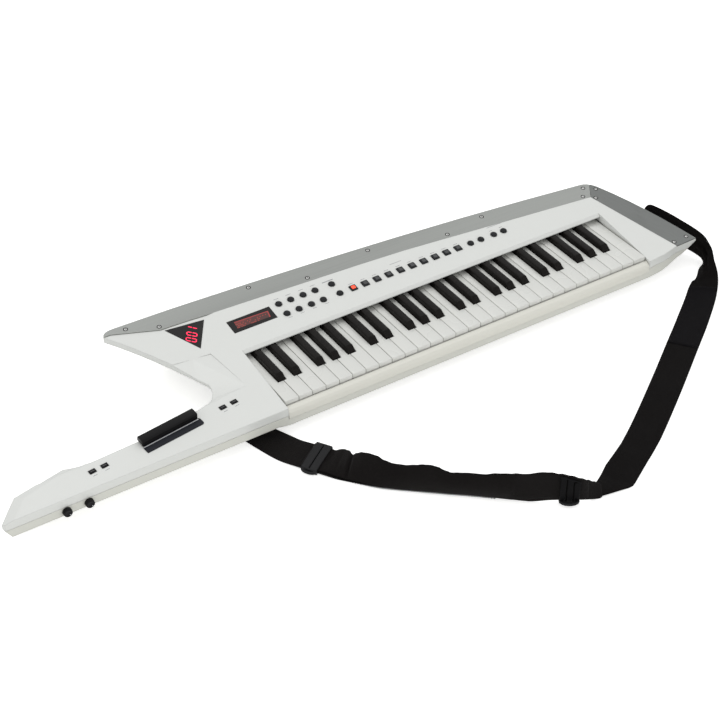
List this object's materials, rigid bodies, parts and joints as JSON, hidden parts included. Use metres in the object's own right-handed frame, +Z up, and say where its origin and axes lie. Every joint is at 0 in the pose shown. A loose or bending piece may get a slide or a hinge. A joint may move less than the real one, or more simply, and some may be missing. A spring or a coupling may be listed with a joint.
{
  "type": "keytar",
  "caption": "Strap-on keyboard synthesizer with neck controls, a pointed horn, metal edge plates, sprung keys, live buttons and a webbing strap.",
  "frame": {"origin": "centre of the flat rest face under the body, where the instrument lies on its hump", "axes": "+X along the keyboard from the neck to the end plate, +Y from the key fronts to the back edge, +Z up"},
  "size_m": [1.2643, 0.6413, 0.086],
  "materials": {
    "cover_white": "satin white moulding",
    "warm_white": "fine-grained warm white moulding",
    "key_white": "polished white key plastic",
    "key_black": "satin black key plastic",
    "brushed_plate": "brushed anodised plate",
    "dark_plate": "brushed anodised plate, darker",
    "smoked_window": "smoked display window",
    "display_red": "red lit display cell",
    "button_grey": "dark grey keypad rubber",
    "touch_black": "fine-grained black",
    "trim_silver": "bright trim line",
    "frame_steel": "folded plated sheet",
    "board_green": "circuit board",
    "battery_sleeve": "plain sleeved cells",
    "webbing": "black woven webbing",
    "slider_plastic": "dark grey moulding"
  },
  "bodies": {
    "instrument": {"top_cover": "cover_white", "bottom_cover": "warm_white", "key_slip": "warm_white", "battery_cover": "warm_white", "strap_pin_end": "warm_white", "back_edge_plate": "brushed_plate", "end_edge_plate": "dark_plate", "display_window": "smoked_window", "triangle_window": "smoked_window", "display_module": "display_red", "digit_display": "display_red", "ribbon_strip": "touch_black", "output_jack": "touch_black", "power_inlet": "touch_black", "ribbon_trim": "trim_silver", "key_frame": "frame_steel", "main_board": "board_green", "panel_board": "board_green", "neck_pot_board": "board_green", "neck_switch_board_head": "board_green", "neck_switch_board_root": "board_green", "batteries": "battery_sleeve", "strap_pin_neck": "frame_steel", "strap_webbing": "webbing", "strap_slider_near": "slider_plastic", "strap_slider_far": "slider_plastic"},
    "white_keys_ceg_b_1_body": {"white_keys_ceg_b_1": "key_white"},
    "white_keys_ceg_b_2_body": {"white_keys_ceg_b_2": "key_white"},
    "white_keys_ceg_b_3_body": {"white_keys_ceg_b_3": "key_white"},
    "white_keys_ceg_b_4_body": {"white_keys_ceg_b_4": "key_white"},
    "white_keys_dfa_1_body": {"white_keys_dfa_1": "key_white"},
    "white_keys_dfa_2_body": {"white_keys_dfa_2": "key_white"},
    "white_keys_dfa_3_body": {"white_keys_dfa_3": "key_white"},
    "white_keys_dfa_4_body": {"white_keys_dfa_4": "key_white"},
    "black_keys_1_body": {"black_keys_1": "key_black"},
    "black_keys_2_body": {"black_keys_2": "key_black"},
    "black_keys_3_body": {"black_keys_3": "key_black"},
    "black_keys_4_body": {"black_keys_4": "key_black"},
    "white_key_top_c_body": {"white_key_top_c": "key_white"},
    "round_buttons_upper_body": {"round_buttons_upper": "button_grey"},
    "round_buttons_lower_body": {"round_buttons_lower": "button_grey"},
    "round_buttons_pair_body": {"round_buttons_pair": "button_grey"},
    "round_buttons_right_body": {"round_buttons_right": "button_grey"},
    "square_button_1_body": {"square_button_1": "button_grey"},
    "square_button_2_body": {"square_button_2": "button_grey"},
    "square_button_3_body": {"square_button_3": "button_grey"},
    "square_button_4_body": {"square_button_4": "button_grey"},
    "square_button_5_body": {"square_button_5": "button_grey"},
    "square_button_6_body": {"square_button_6": "button_grey"},
    "square_button_7_body": {"square_button_7": "button_grey"},
    "square_button_8_body": {"square_button_8": "button_grey"},
    "square_button_9_body": {"square_button_9": "button_grey"},
    "square_button_10_body": {"square_button_10": "button_grey"},
    "neck_button_1_body": {"neck_button_1": "button_grey"},
    "neck_button_2_body": {"neck_button_2": "button_grey"},
    "neck_button_3_body": {"neck_button_3": "button_grey"},
    "neck_button_4_body": {"neck_button_4": "button_grey"},
    "modulation_bar_body": {"modulation_bar": "touch_black"},
    "knob_left_body": {"knob_left": "touch_black"},
    "knob_right_body": {"knob_right": "touch_black"}
  },
  "joints": [
    {"name": "white_keys_ceg_b_1_press", "type": "hinge", "parent": "instrument", "child": "white_keys_ceg_b_1_body", "pos_m": [0.03075, 0.06199, 0.0485], "axis": [1, 0, 0], "range_deg": [0, 3], "stiffness_Nm_per_rad": 6, "springref_deg": -3.44},
    {"name": "white_keys_ceg_b_2_press", "type": "hinge", "parent": "instrument", "child": "white_keys_ceg_b_2_body", "pos_m": [0.03075, 0.06199, 0.0485], "axis": [1, 0, 0], "range_deg": [0, 3], "stiffness_Nm_per_rad": 6, "springref_deg": -3.44},
    {"name": "white_keys_ceg_b_3_press", "type": "hinge", "parent": "instrument", "child": "white_keys_ceg_b_3_body", "pos_m": [0.03075, 0.06199, 0.0485], "axis": [1, 0, 0], "range_deg": [0, 3], "stiffness_Nm_per_rad": 6, "springref_deg": -3.44},
    {"name": "white_keys_ceg_b_4_press", "type": "hinge", "parent": "instrument", "child": "white_keys_ceg_b_4_body", "pos_m": [0.03075, 0.06199, 0.0485], "axis": [1, 0, 0], "range_deg": [0, 3], "stiffness_Nm_per_rad": 6, "springref_deg": -3.44},
    {"name": "white_keys_dfa_1_press", "type": "hinge", "parent": "instrument", "child": "white_keys_dfa_1_body", "pos_m": [0.03075, 0.06199, 0.0405], "axis": [1, 0, 0], "range_deg": [0, 3], "stiffness_Nm_per_rad": 5, "springref_deg": -3.44},
    {"name": "white_keys_dfa_2_press", "type": "hinge", "parent": "instrument", "child": "white_keys_dfa_2_body", "pos_m": [0.03075, 0.06199, 0.0405], "axis": [1, 0, 0], "range_deg": [0, 3], "stiffness_Nm_per_rad": 5, "springref_deg": -3.44},
    {"name": "white_keys_dfa_3_press", "type": "hinge", "parent": "instrument", "child": "white_keys_dfa_3_body", "pos_m": [0.03075, 0.06199, 0.0405], "axis": [1, 0, 0], "range_deg": [0, 3], "stiffness_Nm_per_rad": 5, "springref_deg": -3.44},
    {"name": "white_keys_dfa_4_press", "type": "hinge", "parent": "instrument", "child": "white_keys_dfa_4_body", "pos_m": [0.03075, 0.06199, 0.0405], "axis": [1, 0, 0], "range_deg": [0, 3], "stiffness_Nm_per_rad": 5, "springref_deg": -3.44},
    {"name": "black_keys_1_press", "type": "hinge", "parent": "instrument", "child": "black_keys_1_body", "pos_m": [0.03075, 0.06199, 0.0563], "axis": [1, 0, 0], "range_deg": [0, 3], "stiffness_Nm_per_rad": 6, "springref_deg": -3.44},
    {"name": "black_keys_2_press", "type": "hinge", "parent": "instrument", "child": "black_keys_2_body", "pos_m": [0.03075, 0.06199, 0.0563], "axis": [1, 0, 0], "range_deg": [0, 3], "stiffness_Nm_per_rad": 6, "springref_deg": -3.44},
    {"name": "black_keys_3_press", "type": "hinge", "parent": "instrument", "child": "black_keys_3_body", "pos_m": [0.03075, 0.06199, 0.0563], "axis": [1, 0, 0], "range_deg": [0, 3], "stiffness_Nm_per_rad": 6, "springref_deg": -3.44},
    {"name": "black_keys_4_press", "type": "hinge", "parent": "instrument", "child": "black_keys_4_body", "pos_m": [0.03075, 0.06199, 0.0563], "axis": [1, 0, 0], "range_deg": [0, 3], "stiffness_Nm_per_rad": 6, "springref_deg": -3.44},
    {"name": "white_key_top_c_press", "type": "hinge", "parent": "instrument", "child": "white_key_top_c_body", "pos_m": [0.03075, 0.06199, 0.0485], "axis": [1, 0, 0], "range_deg": [0, 3], "stiffness_Nm_per_rad": 2, "springref_deg": -3.44},
    {"name": "round_buttons_upper_press", "type": "slide", "parent": "instrument", "child": "round_buttons_upper_body", "axis": [0, 0.1392, -0.9903], "range_m": [0, 0.001], "stiffness_N_per_m": 800, "springref_m": -0.001},
    {"name": "round_buttons_lower_press", "type": "slide", "parent": "instrument", "child": "round_buttons_lower_body", "axis": [0, 0.1392, -0.9903], "range_m": [0, 0.001], "stiffness_N_per_m": 800, "springref_m": -0.001},
    {"name": "round_buttons_pair_press", "type": "slide", "parent": "instrument", "child": "round_buttons_pair_body", "axis": [0, 0.1392, -0.9903], "range_m": [0, 0.001], "stiffness_N_per_m": 800, "springref_m": -0.001},
    {"name": "round_buttons_right_press", "type": "slide", "parent": "instrument", "child": "round_buttons_right_body", "axis": [0, 0.1392, -0.9903], "range_m": [0, 0.001], "stiffness_N_per_m": 800, "springref_m": -0.001},
    {"name": "square_button_1_press", "type": "slide", "parent": "instrument", "child": "square_button_1_body", "axis": [0, 0.1392, -0.9903], "range_m": [0, 0.001], "stiffness_N_per_m": 500, "springref_m": -0.001},
    {"name": "square_button_2_press", "type": "slide", "parent": "instrument", "child": "square_button_2_body", "axis": [0, 0.1392, -0.9903], "range_m": [0, 0.001], "stiffness_N_per_m": 500, "springref_m": -0.001},
    {"name": "square_button_3_press", "type": "slide", "parent": "instrument", "child": "square_button_3_body", "axis": [0, 0.1392, -0.9903], "range_m": [0, 0.001], "stiffness_N_per_m": 500, "springref_m": -0.001},
    {"name": "square_button_4_press", "type": "slide", "parent": "instrument", "child": "square_button_4_body", "axis": [0, 0.1392, -0.9903], "range_m": [0, 0.001], "stiffness_N_per_m": 500, "springref_m": -0.001},
    {"name": "square_button_5_press", "type": "slide", "parent": "instrument", "child": "square_button_5_body", "axis": [0, 0.1392, -0.9903], "range_m": [0, 0.001], "stiffness_N_per_m": 500, "springref_m": -0.001},
    {"name": "square_button_6_press", "type": "slide", "parent": "instrument", "child": "square_button_6_body", "axis": [0, 0.1392, -0.9903], "range_m": [0, 0.001], "stiffness_N_per_m": 500, "springref_m": -0.001},
    {"name": "square_button_7_press", "type": "slide", "parent": "instrument", "child": "square_button_7_body", "axis": [0, 0.1392, -0.9903], "range_m": [0, 0.001], "stiffness_N_per_m": 500, "springref_m": -0.001},
    {"name": "square_button_8_press", "type": "slide", "parent": "instrument", "child": "square_button_8_body", "axis": [0, 0.1392, -0.9903], "range_m": [0, 0.001], "stiffness_N_per_m": 500, "springref_m": -0.001},
    {"name": "square_button_9_press", "type": "slide", "parent": "instrument", "child": "square_button_9_body", "axis": [0, 0.1392, -0.9903], "range_m": [0, 0.001], "stiffness_N_per_m": 500, "springref_m": -0.001},
    {"name": "square_button_10_press", "type": "slide", "parent": "instrument", "child": "square_button_10_body", "axis": [0, 0.1392, -0.9903], "range_m": [0, 0.001], "stiffness_N_per_m": 500, "springref_m": -0.001},
    {"name": "neck_button_1_press", "type": "slide", "parent": "instrument", "child": "neck_button_1_body", "axis": [0, 0.1392, -0.9903], "range_m": [0, 0.001], "stiffness_N_per_m": 500, "springref_m": -0.001},
    {"name": "neck_button_2_press", "type": "slide", "parent": "instrument", "child": "neck_button_2_body", "axis": [0, 0.1392, -0.9903], "range_m": [0, 0.001], "stiffness_N_per_m": 500, "springref_m": -0.001},
    {"name": "neck_button_3_press", "type": "slide", "parent": "instrument", "child": "neck_button_3_body", "axis": [0, 0.1392, -0.9903], "range_m": [0, 0.001], "stiffness_N_per_m": 500, "springref_m": -0.001},
    {"name": "neck_button_4_press", "type": "slide", "parent": "instrument", "child": "neck_button_4_body", "axis": [0, 0.1392, -0.9903], "range_m": [0, 0.001], "stiffness_N_per_m": 500, "springref_m": -0.001},
    {"name": "modulation_bar_press", "type": "hinge", "parent": "instrument", "child": "modulation_bar_body", "pos_m": [-0.48503, -0.09061, 0.05565], "axis": [-0.9923, -0.1224, -0.0172], "range_deg": [0, 5], "stiffness_Nm_per_rad": 0.5, "springref_deg": -5.73},
    {"name": "knob_left_turn", "type": "hinge", "parent": "instrument", "child": "knob_left_body", "pos_m": [-0.6705, -0.136, 0.02752], "axis": [0, -1, 0], "range_deg": [-140, 140]},
    {"name": "knob_right_turn", "type": "hinge", "parent": "instrument", "child": "knob_right_body", "pos_m": [-0.6365, -0.136, 0.02752], "axis": [0, -1, 0], "range_deg": [-140, 140]}
  ]
}
